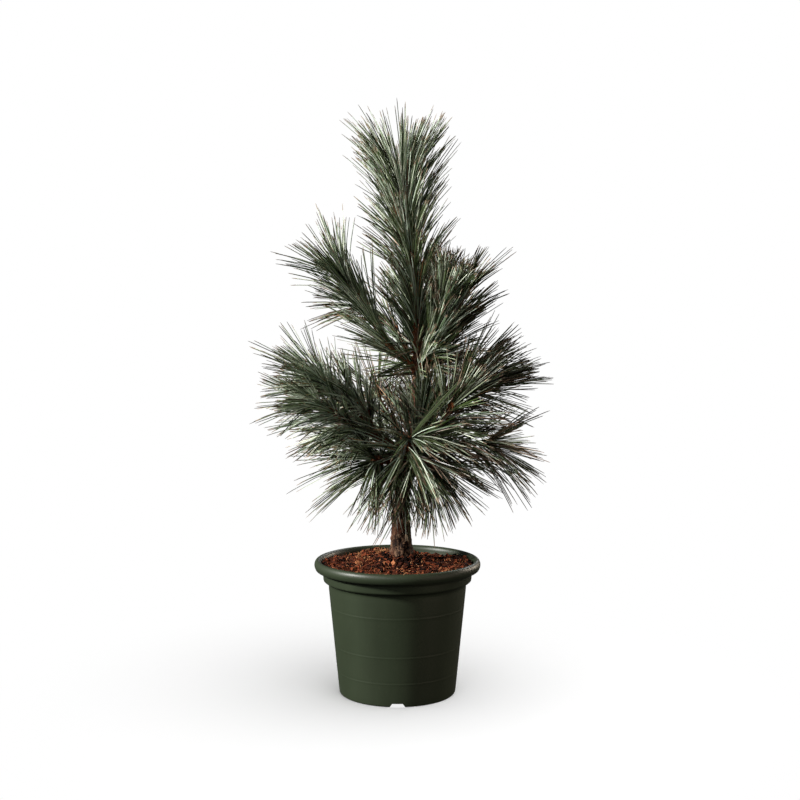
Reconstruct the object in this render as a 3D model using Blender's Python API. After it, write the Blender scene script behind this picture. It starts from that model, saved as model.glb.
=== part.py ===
"""Potted young limber pine: pot, soil, trunk, boughs and needle masses.

Metres, +Z up.  The origin is the middle of the pot's flat underside, and the
viewer stands on the -Y side, with +X to the right.
"""
import math

import bmesh
import bpy
from mathutils import Matrix, Vector, noise

for old in list(bpy.data.objects):
    bpy.data.objects.remove(old, do_unlink=True)

# ---------------------------------------------------------------- dimensions
GAP = 0.0004               # clearance between touching solids

POT_SEGMENTS = 37
POT_HEIGHT = 0.154
POT_RIM_RADIUS = 0.0950    # outside of the rolled rim
POT_RIM_INNER = 0.0870     # inside of the rolled rim
POT_RIM_DEPTH = 0.0120     # height of the roll
POT_COLLAR_TOP = 0.0856    # stiffening collar just under the rim
POT_COLLAR_LOW = 0.0847
POT_COLLAR_Z = 0.1306      # lower edge of the collar
POT_WALL_TOP = 0.0786      # outside of the wall under the collar
POT_WALL_FOOT = 0.0667     # outside of the wall at the foot
POT_WALL = 0.0020
POT_SPLIT = 0.1206         # where the wall's solid ends and the rim's begins
POT_FLOOR = 0.0065         # top of the floor
POT_RECESS = 0.0045        # height of the recess under the floor
POT_FOOT_IN = 0.0570       # inside of the foot ring
POT_BOSS = 0.0240          # radius of the flat boss in the middle
NOTCH_WIDTH = 0.0160       # drain notches through the foot ring
NOTCH_HEIGHT = 0.0046
NOTCH_COUNT = 4
DRAIN_RADIUS = 0.0050      # holes in the floor
DRAIN_RING = 0.0405
DRAIN_COUNT = 6

SOIL_SEGMENTS = 27
SOIL_LEVEL = 0.1440        # level of the soil at its lowest, behind on the right
SOIL_MOUND = 0.0152        # rise towards the trunk
SOIL_MOUND_WIDTH = 0.028
SOIL_RISE = 0.0042         # how much it is heaped against the rim, but not behind
SOIL_HEAP = (-0.024, 0.050, 0.0085, 0.022)   # a heap behind on the left: x, y, height, width

TRUNK_SIDES = 11
BOUGH_SIDES = 7
# centre line of the stem from the soil to its tip: x, y, z, radius (mm)
STEM = (
    (4.4, 12, 155.0, 12.2), (4.2, 12, 182, 11.0), (3.4, 12, 208, 10.0),
    (6, 12, 236, 9.1), (15, 12, 272, 8.2), (20, 12, 306, 7.1),
    (22, 12, 335, 6.3), (23, 10, 369, 5.9), (23, 10, 393, 4.7),
    (23, 8, 429, 4.2), (19, 5, 475, 3.8), (12, 2, 521, 3.3),
    (8, 0, 560, 2.8), (6, 0, 590, 2.2),
)
FLARE = 0.0028             # extra radius where the stem meets the soil
FLARE_HEIGHT = 0.0150

# boughs: name, points (mm) from the stem outwards, radius at both ends (mm)
BOUGHS = (
    ("bough_lower_left", ((10, 8, 268), (-12, -14, 288), (-32, -30, 305)), 5.6, 4.4),
    ("bough_lower_front", ((14, 7, 261), (14, -18, 268), (15, -40, 277)), 4.8, 3.8),
    ("bough_lower_right", ((18, 11, 277), (38, 5, 285), (58, 0, 288)), 5.0, 4.0),
    ("bough_lower_right_rising", ((20, 15, 288), (38, 21, 304), (55, 26, 318)), 5.0, 4.0),
    ("bough_lower_back_left", ((11, 20, 287), (0, 40, 304), (-8, 56, 318)), 4.8, 3.8),
    ("bough_lower_back", ((15, 20, 276), (17, 42, 284), (17, 64, 293)), 4.8, 3.8),
    ("bough_upper_left", ((21, 8, 370), (6, -3, 388), (-10, -14, 405)), 4.2, 3.4),
    ("bough_upper_right", ((26, 9, 371), (38, 3, 389), (50, 0, 408)), 4.2, 3.4),
    ("bough_upper_back", ((24, 14, 370), (24, 32, 388), (22, 46, 408)), 3.8, 3.2),
    ("bough_lower_left_under", ((9, 6, 257), (-6, -8, 266), (-18, -22, 266)), 3.8, 3.0),
    ("bough_lower_right_under", ((18, 7, 266), (30, -8, 268), (40, -22, 262)), 3.8, 3.0),
    ("bough_lower_back_under", ((17, 18, 264), (26, 34, 268), (34, 48, 263)), 3.8, 3.0),
    ("bough_lower_left_back", ((9, 17, 270), (-10, 23, 281), (-30, 29, 284)), 3.8, 3.0),
    ("bough_upper_front", ((25, 4, 374), (29, -8, 388), (33, -18, 400)), 3.2, 2.6),
    ("bough_upper_back_right", ((27, 14, 374), (32, 28, 394), (38, 40, 412)), 3.2, 2.6),
    ("bough_upper_back_left", ((20, 14, 374), (12, 28, 390), (2, 40, 412)), 3.2, 2.6),
)

# needle masses: name, centre line of the shoots inside (mm), reach of the
# needles square to it, reach past its end, radius where it starts (mm), how
# far the lower side hangs below the upper one (share of the reach)
MASSES = (
    ("needles_leader_top", ((10, 1, 538), (8, 0, 563), (6, 0, 591)), 58, 78, 50, 0.00),
    ("needles_leader_low", ((21, 8, 420), (19, 5, 475), (10, 1, 530)), 53, 12, 24, 0.00),
    ("needles_upper_left", ((-8, -13, 403), (-33, -29, 431), (-53, -38, 454), (-68, -43, 474)), 52, 54, 26, -0.05),
    ("needles_upper_right", ((48, 0, 404), (62, -5, 431), (80, -10, 462)), 42, 48, 24, 0.00),
    ("needles_upper_front", ((31, -13, 392), (36, -27, 410), (40, -45, 445)), 36, 48, 16, 0.00),
    ("needles_upper_back_right", ((33, 36, 402), (44, 50, 428), (52, 64, 476)), 44, 50, 20, 0.00),
    ("needles_upper_back_left", ((8, 36, 400), (-8, 46, 428), (-28, 58, 458)), 44, 48, 20, 0.00),
    ("needles_upper_back", ((22, 44, 402), (20, 62, 424), (14, 84, 452)), 46, 50, 20, 0.00),
    ("needles_lower_left_tip", ((-52, -44, 325), (-76, -54, 349), (-103, -60, 374)), 56, 58, 34, 0.00),
    ("needles_lower_left_inner", ((-40, -40, 318), (-52, -48, 338), (-62, -54, 360)), 40, 44, 22, 0.00),
    ("needles_lower_left_side", ((-40, -40, 308), (-74, -58, 321), (-104, -69, 333)), 53, 52, 34, 0.02),
    ("needles_lower_left_under", ((-8, -12, 270), (-24, -32, 262), (-44, -50, 250)), 54, 48, 26, 0.10),
    ("needles_lower_front", ((14, -22, 268), (16, -60, 286), (17, -112, 306)), 60, 50, 34, 0.10),
    ("needles_lower_right", ((44, 2, 284), (86, -8, 288), (124, -18, 285)), 54, 56, 24, 0.12),
    ("needles_lower_right_rising", ((52, 25, 316), (70, 30, 329), (98, 35, 357), (120, 40, 376)), 48, 54, 28, 0.00),
    ("needles_lower_right_back", ((40, 36, 312), (68, 52, 334), (98, 72, 366)), 48, 52, 22, 0.00),
    ("needles_lower_right_under", ((30, -8, 268), (44, -28, 259), (62, -46, 247)), 54, 50, 28, 0.10),
    ("needles_lower_back_left", ((-6, 52, 315), (-18, 68, 330), (-34, 84, 350)), 54, 52, 28, 0.00),
    ("needles_lower_back", ((17, 58, 290), (15, 90, 305), (10, 122, 326)), 56, 52, 30, 0.10),
    ("needles_lower_back_under", ((22, 28, 270), (34, 50, 262), (50, 72, 252)), 58, 46, 26, 0.10),
    ("needles_lower_left_back", ((-16, 24, 280), (-44, 34, 286), (-72, 44, 292)), 54, 48, 26, 0.12),
)
MASS_SIDES = 9
MASS_RINGS = (0.0, 0.11, 0.28, 0.50, 0.73, 0.92)

# the object's own colours: base colour, roughness
COLOURS = {
    "pot": ((0.030, 0.052, 0.028), 0.42),
    "soil": ((0.150, 0.052, 0.026), 0.95),
    "bark": ((0.150, 0.085, 0.050), 0.85),
    "needles": ((0.075, 0.135, 0.085), 0.60),
}


# ------------------------------------------------------------------- helpers
def material(name):
    found = bpy.data.materials.get(name)
    if found:
        return found
    colour, rough = COLOURS[name]
    made = bpy.data.materials.new(name)
    made.use_nodes = True
    shader = made.node_tree.nodes["Principled BSDF"]
    shader.inputs["Base Color"].default_value = (*colour, 1.0)
    shader.inputs["Roughness"].default_value = rough
    shader.inputs["Metallic"].default_value = 0.0
    return made


def add_object(name, bm, mat, smooth=True):
    bmesh.ops.triangulate(bm, faces=[f for f in bm.faces if len(f.verts) > 4])
    bmesh.ops.recalc_face_normals(bm, faces=bm.faces)
    mesh = bpy.data.meshes.new(name)
    bm.to_mesh(mesh)
    bm.free()
    mesh.materials.append(material(mat))
    if smooth:
        mesh.shade_smooth()
        mesh.set_sharp_from_angle(angle=math.radians(40))
    made = bpy.data.objects.new(name, mesh)
    bpy.context.scene.collection.objects.link(made)
    return made


def mm(point):
    return Vector(point[:3]) / 1000.0


def smooth_path(points, count):
    """Evenly spaced stations on a smooth curve through the points."""
    pts = [Vector(p) for p in points]
    ends = [pts[0] * 2 - pts[1]] + pts + [pts[-1] * 2 - pts[-2]]
    fine = []
    for i in range(1, len(ends) - 2):
        p0, p1, p2, p3 = ends[i - 1:i + 3]
        for k in range(16):
            t = k / 16.0
            fine.append(0.5 * ((2 * p1) + (p2 - p0) * t
                               + (2 * p0 - 5 * p1 + 4 * p2 - p3) * t * t
                               + (3 * p1 - p0 - 3 * p2 + p3) * t ** 3))
    fine.append(pts[-1])
    run = [0.0]
    for a, b in zip(fine, fine[1:]):
        run.append(run[-1] + (Vector(b[:3]) - Vector(a[:3])).length)
    out, j = [], 0
    for i in range(count):
        want = run[-1] * i / (count - 1)
        while j < len(run) - 2 and run[j + 1] < want:
            j += 1
        span = max(run[j + 1] - run[j], 1e-9)
        out.append(fine[j].lerp(fine[j + 1], min(1.0, max(0.0, (want - run[j]) / span))))
    return out, run[-1]


def frames(path, first=None):
    """A side and an up vector at each station, carried along without twist."""
    n = len(path)
    tangents = [(path[min(i + 1, n - 1)] - path[max(i - 1, 0)]).normalized() for i in range(n)]
    if first is not None:
        tangents[0] = Vector(first)
    side = tangents[0].cross(Vector((0, 1, 0)))
    if side.length < 0.2:
        side = tangents[0].cross(Vector((1, 0, 0)))
    side.normalize()
    out = []
    for t in tangents:
        side = (side - t * side.dot(t)).normalized()
        out.append((t, side, t.cross(side)))
    return out


def limb(name, points, radii, sides, stations, mat="bark", grow=0.0, first=None, flare=0.0):
    """A tapering round limb with flat ends."""
    path, length = smooth_path([(*mm(p), r / 1000.0) for p, r in zip(points, radii)], stations)
    centre = [Vector(p[:3]) for p in path]
    radius = [p[3] for p in path]
    if flare:
        radius = [r + flare * math.exp(-(c.z - centre[0].z) / FLARE_HEIGHT)
                  for r, c in zip(radius, centre)]
    basis = frames(centre, first)
    if grow:
        centre[0] = centre[0] - basis[0][0] * grow
        centre[-1] = centre[-1] + basis[-1][0] * grow
    bm = bmesh.new()
    rings = []
    for c, r, (_, side, up) in zip(centre, radius, basis):
        rings.append([bm.verts.new(c + (side * math.cos(a) + up * math.sin(a)) * (r + grow))
                      for a in (2 * math.pi * k / sides for k in range(sides))])
    for low, high in zip(rings, rings[1:]):
        for k in range(sides):
            m = (k + 1) % sides
            bm.faces.new((low[k], low[m], high[m], high[k]))
    bm.faces.new(rings[0][::-1])
    bm.faces.new(rings[-1])
    return add_object(name, bm, mat)


def needle_mass(name, points, reach, past, start, hang, seed, grow=0.0):
    """The uneven closed shape that the needles of one shoot system fill."""
    line = [mm(p) for p in points]
    reach, past, start = reach / 1000.0, past / 1000.0, start / 1000.0
    last = (line[-1] - line[-2]).normalized()
    path, length = smooth_path([*line, line[-1] + last * past], 40)
    run = length - past
    basis = frames(path)
    bm = bmesh.new()
    rings = []
    for i, share in enumerate(MASS_RINGS):
        at = share * length
        k = min(39, max(0, round(share * 39)))
        t, side, up = basis[k]
        grown = min(1.0, at / (0.75 * reach))
        radius = start + (reach - start) * math.sin(grown * math.pi / 2) ** 0.8
        if at > run:
            radius *= max(0.0, 1 - ((at - run) / (past * 1.05)) ** 3.0) ** 0.5
        ring = []
        for j in range(MASS_SIDES):
            a = 2 * math.pi * (j + 0.5 * (i % 2)) / MASS_SIDES
            out = side * math.cos(a) + up * math.sin(a)
            where = path[k] + out * radius
            lump = noise.noise(where * 24.0 + Vector((seed * 3.7, seed * 1.9, seed * 5.3)))
            fine = noise.noise(where * 70.0 + Vector((seed * 2.1, 7.7, seed * 0.7)))
            r = radius * (1 + 0.24 * lump + 0.13 * fine) * (1 - hang * out.z)
            ring.append(bm.verts.new(path[k] + out * r + t * 0.004 * fine))
        rings.append(ring)
    tip = bm.verts.new(path[-1])
    foot = bm.verts.new(path[0] - basis[0][0] * 0.004)
    sides = MASS_SIDES
    for i, (low, high) in enumerate(zip(rings, rings[1:])):
        for k in range(sides):
            m = (k + 1) % sides
            if i % 2 == 0:
                bm.faces.new((low[k], low[m], high[k]))
                bm.faces.new((low[m], high[m], high[k]))
            else:
                bm.faces.new((low[k], low[m], high[m]))
                bm.faces.new((low[k], high[m], high[k]))
    for k in range(sides):
        bm.faces.new((rings[-1][k], rings[-1][(k + 1) % sides], tip))
        bm.faces.new((rings[0][(k + 1) % sides], rings[0][k], foot))
    bmesh.ops.recalc_face_normals(bm, faces=bm.faces)
    if grow:
        bm.normal_update()
        moved = [(v, v.co + v.normal * grow) for v in bm.verts]
        for v, co in moved:
            v.co = co
    return add_object(name, bm, "needles", smooth=False)


def box_of(item):
    pts = [v.co for v in item.data.vertices]
    return ([min(p[i] for p in pts) for i in range(3)],
            [max(p[i] for p in pts) for i in range(3)])


def boxes_meet(a, b):
    return all(a[0][i] < b[1][i] and b[0][i] < a[1][i] for i in range(3))


def keep_largest(mesh):
    """Drop the crumbs that a cut leaves beside the main body."""
    bm = bmesh.new()
    bm.from_mesh(mesh)
    bm.verts.ensure_lookup_table()
    seen, best = set(), []
    for v in bm.verts:
        if v.index in seen:
            continue
        stack, island = [v], []
        seen.add(v.index)
        while stack:
            w = stack.pop()
            island.append(w)
            for e in w.link_edges:
                o = e.other_vert(w)
                if o.index not in seen:
                    seen.add(o.index)
                    stack.append(o)
        size = 1.0
        for i in range(3):
            size *= max(p.co[i] for p in island) - min(p.co[i] for p in island)
        best.append((size, island))
    best.sort(key=lambda e: -e[0])
    for _, island in best[1:]:
        bmesh.ops.delete(bm, geom=island, context="VERTS")
    bm.to_mesh(mesh)
    bm.free()


def cut(item, cutters):
    """Subtract the cutters and keep the main body."""
    used = [c for c in cutters if boxes_meet(box_of(item), box_of(c))]
    for c in used:
        mod = item.modifiers.new("cut", "BOOLEAN")
        mod.operation = "DIFFERENCE"
        mod.solver = "EXACT"
        mod.object = c
    if not used:
        return
    graph = bpy.context.evaluated_depsgraph_get()
    graph.update()
    mesh = bpy.data.meshes.new_from_object(item.evaluated_get(graph))
    item.modifiers.clear()
    keep_largest(mesh)
    item.data = mesh


def turned(name, profile, segments, mat):
    """A closed profile of (radius, z) turned about Z; radius 0 closes on the axis."""
    bm = bmesh.new()
    rings = []
    for r, z in profile:
        if rings and (r, z) == profile[0]:
            rings.append(rings[0])
        elif r < 1e-6:
            rings.append([bm.verts.new((0, 0, z))])
        else:
            rings.append([bm.verts.new((r * math.cos(a), r * math.sin(a), z))
                          for a in (2 * math.pi * k / segments for k in range(segments))])
    for low, high in zip(rings, rings[1:]):
        for k in range(segments):
            m = (k + 1) % segments
            if len(low) == 1:
                bm.faces.new((low[0], high[m], high[k]))
            elif len(high) == 1:
                bm.faces.new((low[k], low[m], high[0]))
            else:
                bm.faces.new((low[k], low[m], high[m], high[k]))
    return add_object(name, bm, mat)


def cutter_cylinder(x, y, z0, z1, radius, segments=12):
    bm = bmesh.new()
    bmesh.ops.create_cone(bm, cap_ends=True, segments=segments, radius1=radius, radius2=radius,
                          depth=z1 - z0, matrix=Matrix.Translation((x, y, (z0 + z1) / 2)))
    return add_object("cutter", bm, "pot", smooth=False)


def cutter_box(size, place):
    bm = bmesh.new()
    bmesh.ops.create_cube(bm, size=1.0, matrix=place @ Matrix.Diagonal((*size, 1.0)))
    return add_object("cutter", bm, "pot", smooth=False)


def drop(items):
    for item in items:
        bpy.data.objects.remove(item, do_unlink=True)


# ----------------------------------------------------------------------- pot
def wall_radius(z):
    """Outside of the plain wall at height z."""
    return POT_WALL_FOOT + (POT_WALL_TOP - POT_WALL_FOOT) * z / 0.121


rim_low = POT_HEIGHT - POT_RIM_DEPTH
pot_profile = [(0.0, 0.0), (POT_BOSS, 0.0), (POT_BOSS + 0.002, POT_RECESS),
               (POT_FOOT_IN, POT_RECESS), (POT_FOOT_IN + 0.001, 0.0),
               (POT_WALL_FOOT - 0.0032, 0.0), (POT_WALL_FOOT - 0.0010, 0.0012),
               (POT_WALL_FOOT, 0.0036), (wall_radius(POT_SPLIT), POT_SPLIT),
               (wall_radius(POT_SPLIT) - POT_WALL, POT_SPLIT),
               (wall_radius(POT_FLOOR) - POT_WALL, POT_FLOOR), (0.0, POT_FLOOR)]
pot = turned("pot", pot_profile, POT_SEGMENTS, "pot")

# the collar and the rolled rim, a closed ring that the wall runs up into
rim_profile = [(POT_WALL_TOP, POT_SPLIT + GAP),
               (POT_WALL_TOP + 0.0004, POT_COLLAR_Z - 0.0044), (POT_COLLAR_LOW, POT_COLLAR_Z),
               (POT_COLLAR_TOP, rim_low - 0.0004), (POT_RIM_RADIUS - 0.0016, rim_low)]
for step in range(6):     # the roll, from its outside over the crest
    a = math.radians(-20 + 200 * step / 5)
    half = (POT_RIM_RADIUS - POT_RIM_INNER) / 2
    tall = half * 1.45
    rim_profile.append((POT_RIM_INNER + half + half * math.cos(a),
                        POT_HEIGHT - tall + tall * math.sin(a)))
rim_inside = [(POT_RIM_INNER - 0.0004, rim_low), (POT_COLLAR_LOW - POT_WALL, POT_COLLAR_Z + 0.0012),
              (POT_WALL_TOP - POT_WALL, POT_COLLAR_Z - 0.0038)]
rim_profile += [*rim_inside, (POT_WALL_TOP - POT_WALL, POT_SPLIT + GAP)]
pot_rim = turned("pot_rim", rim_profile + rim_profile[:1], POT_SEGMENTS, "pot")

cutters = []
for n in range(NOTCH_COUNT):
    turn = Matrix.Rotation(2 * math.pi * n / NOTCH_COUNT - math.pi / 2, 4, "Z")
    cutters.append(cutter_box((0.016, NOTCH_WIDTH, 2 * NOTCH_HEIGHT),
                              turn @ Matrix.Translation((POT_WALL_FOOT - 0.0040, 0, 0))))
for n in range(DRAIN_COUNT):
    a = 2 * math.pi * (n + 0.5) / DRAIN_COUNT
    cutters.append(cutter_cylinder(DRAIN_RING * math.cos(a), DRAIN_RING * math.sin(a),
                                   POT_RECESS - 0.002, POT_FLOOR + 0.002, DRAIN_RADIUS))
cut(pot, cutters)
drop(cutters)

# ----------------------------------------------------------------- the limbs
stem_points = [p[:3] for p in STEM]
stem_radii = [p[3] for p in STEM]
trunk = limb("trunk", stem_points, stem_radii, TRUNK_SIDES, 19, first=(0, 0, 1), flare=FLARE)
trunk_cutter = limb("cutter", stem_points, stem_radii, TRUNK_SIDES, 19, first=(0, 0, 1),
                    flare=FLARE, grow=GAP)

boughs, bough_cutters = [], []
for name, points, r0, r1 in BOUGHS:
    radii = [r0 + (r1 - r0) * i / (len(points) - 1) for i in range(len(points))]
    bough = limb(name, points, radii, BOUGH_SIDES, 3)
    cut(bough, [trunk_cutter])
    boughs.append(bough)
    bough_cutters.append(limb("cutter", points, radii, BOUGH_SIDES, 3, grow=GAP))
for i, bough in enumerate(boughs):
    cut(bough, bough_cutters[:i])


# ---------------------------------------------------------------------- soil
def inside_radius(z):
    """Inside of the rim's moulding at height z, above the collar."""
    (top_r, top_z), (low_r, low_z) = rim_inside[:2]
    return low_r + (top_r - low_r) * min(1.0, max(0.0, (z - low_z) / (top_z - low_z)))


def soil_height(x, y):
    near = math.exp(-((x - 0.005) ** 2 + (y - 0.012) ** 2) / SOIL_MOUND_WIDTH ** 2)
    heap_x, heap_y, heap, heap_width = SOIL_HEAP
    behind = math.exp(-((x - heap_x) ** 2 + (y - heap_y) ** 2) / heap_width ** 2)
    out = math.hypot(x, y) / POT_RIM_INNER
    turn = min(1.0, max(0.0, (1.25 * abs(x) - 0.8 * y) / max(math.hypot(x, y), 1e-6)))
    rise = SOIL_RISE * turn * turn * (3 - 2 * turn) * out ** 3
    lumps = 0.0012 * noise.noise(Vector((x * 60, y * 60, 3.0)))
    return SOIL_LEVEL + SOIL_MOUND * near + heap * behind + rise + lumps


bm = bmesh.new()
fractions = (1.0, 0.88, 0.66, 0.42, 0.24)
soil_rings = []
foot_radius = wall_radius(POT_FLOOR) - POT_WALL - 0.0006
neck_radius = POT_WALL_TOP - POT_WALL - 0.0006
edge_radius = POT_COLLAR_LOW - POT_WALL - 0.0006
levels = [(foot_radius, POT_FLOOR + GAP), (neck_radius, POT_COLLAR_Z - 0.0036),
          (edge_radius, POT_COLLAR_Z + 0.0024)]
angles = [2 * math.pi * k / SOIL_SEGMENTS for k in range(SOIL_SEGMENTS)]
for r, z in levels:
    soil_rings.append([bm.verts.new((r * math.cos(a), r * math.sin(a), z)) for a in angles])
edges = []                 # the soil's own edge, where it meets the moulding
for a in angles:
    r = POT_RIM_INNER
    r = inside_radius(soil_height(r * math.cos(a), r * math.sin(a))) - 0.0009
    edges.append(r)
for share in fractions:
    soil_rings.append([bm.verts.new((r * share * math.cos(a), r * share * math.sin(a),
                                     soil_height(r * share * math.cos(a), r * share * math.sin(a))))
                       for a, r in zip(angles, edges)])
for low, high in zip(soil_rings, soil_rings[1:]):
    for k in range(SOIL_SEGMENTS):
        m = (k + 1) % SOIL_SEGMENTS
        bm.faces.new((low[k], low[m], high[m], high[k]))
bm.faces.new(soil_rings[0][::-1])
middle = bm.verts.new((0, 0, soil_height(0, 0)))
for k in range(SOIL_SEGMENTS):
    bm.faces.new((soil_rings[-1][k], soil_rings[-1][(k + 1) % SOIL_SEGMENTS], middle))
bmesh.ops.triangulate(bm, faces=[f for f in bm.faces if f.calc_center_median().z > 0.135
                                 and len(f.verts) == 4])
soil = add_object("soil", bm, "soil")
cut(soil, [trunk_cutter])

# -------------------------------------------------------------------- masses
grown = []
for seed, (name, points, reach, past, start, hang) in enumerate(MASSES, start=1):
    mass = needle_mass(name, points, reach, past, start, hang, seed)
    cutter = needle_mass("cutter", points, reach, past, start, hang, seed, grow=2.0 * GAP)
    cut(mass, [trunk_cutter, *bough_cutters, *grown])
    grown.append(cutter)
drop(grown)
drop(bough_cutters)
drop([trunk_cutter])
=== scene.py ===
"""Potted young limber pine: the finished look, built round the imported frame."""
import math

import bmesh
import bpy
import numpy as np
from mathutils import Matrix, Vector, noise


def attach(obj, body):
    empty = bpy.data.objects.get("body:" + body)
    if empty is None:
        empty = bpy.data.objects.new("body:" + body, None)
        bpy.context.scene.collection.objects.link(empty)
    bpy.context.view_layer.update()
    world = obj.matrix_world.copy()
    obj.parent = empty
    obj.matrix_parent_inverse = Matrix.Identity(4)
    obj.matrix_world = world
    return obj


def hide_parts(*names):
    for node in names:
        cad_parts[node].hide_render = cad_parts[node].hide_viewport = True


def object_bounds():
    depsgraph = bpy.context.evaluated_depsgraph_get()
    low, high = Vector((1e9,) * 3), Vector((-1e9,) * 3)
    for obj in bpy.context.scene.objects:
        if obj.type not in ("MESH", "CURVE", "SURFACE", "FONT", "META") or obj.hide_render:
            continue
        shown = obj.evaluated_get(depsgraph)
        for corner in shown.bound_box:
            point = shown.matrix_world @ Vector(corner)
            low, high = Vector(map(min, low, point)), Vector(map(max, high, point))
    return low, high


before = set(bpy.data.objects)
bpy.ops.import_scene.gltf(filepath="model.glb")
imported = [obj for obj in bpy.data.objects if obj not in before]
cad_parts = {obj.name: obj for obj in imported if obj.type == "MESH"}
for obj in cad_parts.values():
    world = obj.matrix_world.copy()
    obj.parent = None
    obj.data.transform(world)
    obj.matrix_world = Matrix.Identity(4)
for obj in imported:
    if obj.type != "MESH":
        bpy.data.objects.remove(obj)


def plain_box(box):
    return [[float(v) for v in corner] for corner in box]


CAD_BOX = plain_box(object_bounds())
RNG = np.random.default_rng(20611)

# ---------------------------------------------------------------- dimensions
POT_HEIGHT = 0.154
POT_RIM_RADIUS = 0.0950
POT_RIM_INNER = 0.0870
POT_RIM_DEPTH = 0.0120
POT_COLLAR_TOP = 0.0856
POT_COLLAR_LOW = 0.0847
POT_COLLAR_Z = 0.1306
POT_WALL_TOP = 0.0786
POT_WALL_FOOT = 0.0667
POT_WALL = 0.0020
POT_FLOOR = 0.0065
POT_RECESS = 0.0045
POT_FOOT_IN = 0.0570
POT_BOSS = 0.0240
NOTCH_WIDTH = (0.0178, 0.0118)      # at the foot, at its top
NOTCH_HEIGHT = 0.0045
NOTCH_COUNT = 4
DRAIN_RADIUS = 0.0050
DRAIN_RING = 0.0405
DRAIN_COUNT = 6
SOIL_LEVEL = 0.1440
SOIL_MOUND = 0.0152
SOIL_MOUND_WIDTH = 0.028
SOIL_RISE = 0.0042
SOIL_HEAP = (-0.024, 0.050, 0.0085, 0.022)

STEM = (
    (4.4, 12, 155.0, 12.2), (4.2, 12, 182, 11.0), (3.4, 12, 208, 10.0),
    (6, 12, 236, 9.1), (15, 12, 272, 8.2), (20, 12, 306, 7.1),
    (22, 12, 335, 6.3), (23, 10, 369, 5.9), (23, 10, 393, 4.7),
    (23, 8, 429, 4.2), (19, 5, 475, 3.8), (12, 2, 521, 3.3),
    (8, 0, 560, 2.8), (6, 0, 590, 2.2),
)
FLARE = 0.0028
FLARE_HEIGHT = 0.0150

# how many fascicles have each tint: blue, mid, deep, fresh, pale, the brown shade tint, straw. The shares by side
# paint light and shade: the left-hand shoots get more pale and blue fascicles as painted light, and the front, right
# and back ones get more deep and brown ones as painted shade
LEFT_LIT = (0.25, 0.15, 0.16, 0.08, 0.33, 0.025, 0.005)
LOW_LEFT_LIT = (0.29, 0.13, 0.13, 0.08, 0.33, 0.035, 0.005)
FRONT_SHADED = (0.15, 0.24, 0.48, 0.04, 0.02, 0.060, 0.01)
RIGHT_SHADED = (0.12, 0.15, 0.28, 0.05, 0.14, 0.25, 0.01)
BACK_SHADED = (0.12, 0.20, 0.29, 0.07, 0.08, 0.23, 0.01)
STEM_LOOK = (0.20, 0.28, 0.20, 0.10, 0.12, 0.09, 0.01)
DARK = (0.10, 0.22, 0.34, 0.06, 0.05, 0.22, 0.01)


# a shoot: the bough it grows on, the needle masses it stands for, its centre line
# from the stem outwards (mm), radius at both ends (mm), share of the line where
# the needles begin, needle length (mm), lean of the needles from the shoot at its
# foot and at its tip (degrees), how far they hang, how far they bow outwards,
# fascicles per mm, share of the upper ones that are missing, length of the needles
# at its foot (share), scatter of their lean (degrees), their tints
def shoot(bough, masses, line, r, start, length, lean, droop, bow, dense, bare, foot, spread, look, fork=False):
    return dict(bough=bough, masses=masses, line=line, r=r, start=start, length=length, lean=lean, droop=droop,
                bow=bow, dense=dense, bare=bare, foot=foot, spread=spread, look=look, fork=fork)


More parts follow.
